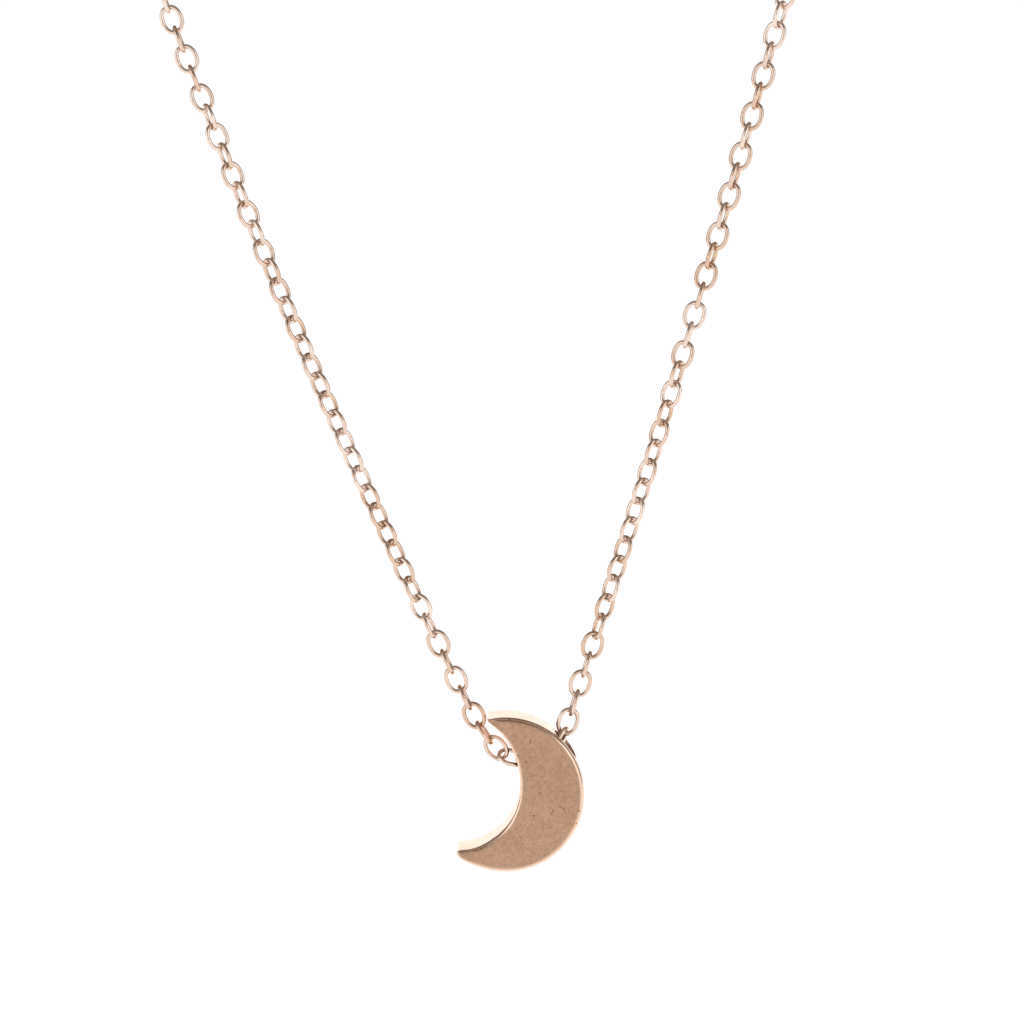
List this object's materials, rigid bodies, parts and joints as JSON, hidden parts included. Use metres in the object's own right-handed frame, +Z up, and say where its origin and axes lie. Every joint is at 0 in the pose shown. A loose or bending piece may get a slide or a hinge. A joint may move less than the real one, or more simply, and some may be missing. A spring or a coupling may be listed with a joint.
{
  "type": "pendant necklace",
  "caption": "Fine oval-link chain necklace with a crescent moon bead strung on it, a lobster clasp and a short extender with a ball drop.",
  "frame": {"origin": "middle of the wearer's neck, at the height where the chain lies on the shoulders", "axes": "+Z up, -Y forward: the hanging sides of the chain lie in one upright plane and the crescent's face looks along -Y; +X is the viewer's right seen from the front"},
  "size_m": [0.0874, 0.045, 0.1326],
  "materials": {
    "moon_metal": "satin rose-gold plate with fine pits, brighter on the rims",
    "chain_metal": "polished rose-gold plate",
    "finding_metal": "polished rose-gold plate, lightly rubbed",
    "spring_steel": "plain drawn wire"
  },
  "bodies": {
    "neck_run": {"back_links_left_a": "chain_metal", "back_links_left_b": "chain_metal", "back_links_right_a": "chain_metal", "back_links_right_b": "chain_metal", "jump_ring_clasp": "finding_metal", "jump_ring_catch": "finding_metal"},
    "drape_1": {"left_links_1": "chain_metal", "right_links_1": "chain_metal"},
    "drape_2": {"left_links_2": "chain_metal", "right_links_2": "chain_metal"},
    "drape_3": {"left_links_3": "chain_metal", "right_links_3": "chain_metal"},
    "drape_4": {"left_links_4": "chain_metal", "right_links_4": "chain_metal"},
    "drape_5": {"left_links_5": "chain_metal", "right_links_5": "chain_metal"},
    "drape_6": {"left_links_6": "chain_metal", "right_links_6": "chain_metal", "bore_links": "chain_metal"},
    "moon": {"moon_bead": "moon_metal"},
    "clasp": {"clasp_body": "finding_metal", "clasp_rivet": "finding_metal", "clasp_spring": "spring_steel"},
    "trigger": {"clasp_trigger": "finding_metal"},
    "extender_1": {"extender_links_1": "chain_metal"},
    "extender_2": {"extender_links_2": "chain_metal"},
    "extender_3": {"extender_links_3": "chain_metal", "drop_ring": "finding_metal"},
    "drop": {"end_drop": "finding_metal"}
  },
  "joints": [
    {"name": "drape_1_swing", "type": "hinge", "parent": "neck_run", "child": "drape_1", "pos_m": [0.00101, -0.02011, -0.02062], "axis": [-1, 0, -0.0091], "range_deg": [-10, 70]},
    {"name": "drape_2_swing", "type": "hinge", "parent": "drape_1", "child": "drape_2", "pos_m": [0.00188, -0.02011, -0.04189], "axis": [-1, 0, -0.0018], "range_deg": [-12, 45]},
    {"name": "drape_3_swing", "type": "hinge", "parent": "drape_2", "child": "drape_3", "pos_m": [0.00291, -0.02011, -0.06551], "axis": [-0.9999, 0, 0.0122], "range_deg": [-12, 45]},
    {"name": "drape_4_swing", "type": "hinge", "parent": "drape_3", "child": "drape_4", "pos_m": [0.00398, -0.02011, -0.08364], "axis": [-0.9999, 0, -0.0114], "range_deg": [-15, 30]},
    {"name": "drape_5_swing", "type": "hinge", "parent": "drape_4", "child": "drape_5", "pos_m": [0.00459, -0.02011, -0.09537], "axis": [-1, 0, 0.0014], "range_deg": [-20, 20]},
    {"name": "drape_6_swing", "type": "hinge", "parent": "drape_5", "child": "drape_6", "pos_m": [0.0061, -0.02011, -0.11695], "axis": [-0.9999, 0, 0.0168], "range_deg": [-35, 45]},
    {"name": "moon_turn", "type": "hinge", "parent": "drape_6", "child": "moon", "pos_m": [0.00755, -0.02011, -0.12291], "axis": [-0.9403, 0, -0.3404], "range_deg": [-25, 25]},
    {"name": "clasp_roll", "type": "hinge", "parent": "neck_run", "child": "clasp", "pos_m": [-0.00493, 0.02011, 0], "axis": [1, 0, 0], "range_deg": [-20, 20]},
    {"name": "clasp_trigger_turn", "type": "hinge", "parent": "clasp", "child": "trigger", "pos_m": [-0.00223, 0.02011, -0.00055], "axis": [0, -1, 0], "range_deg": [0, 18], "stiffness_Nm_per_rad": 0.0002, "springref_deg": -5.73},
    {"name": "extender_1_swing", "type": "hinge", "parent": "neck_run", "child": "extender_1", "pos_m": [0.00373, 0.02166, 0], "axis": [1, 0, 0], "range_deg": [-10, 80]},
    {"name": "extender_2_swing", "type": "hinge", "parent": "extender_1", "child": "extender_2", "pos_m": [0.00373, 0.02166, -0.01653], "axis": [1, 0, 0], "range_deg": [-20, 60]},
    {"name": "extender_3_swing", "type": "hinge", "parent": "extender_2", "child": "extender_3", "pos_m": [0.00373, 0.02166, -0.03309], "axis": [1, 0, 0], "range_deg": [-20, 60]},
    {"name": "drop_swing", "type": "hinge", "parent": "extender_3", "child": "drop", "pos_m": [0.00373, 0.02166, -0.05146], "axis": [0, 1, 0], "range_deg": [-60, 60]}
  ]
}
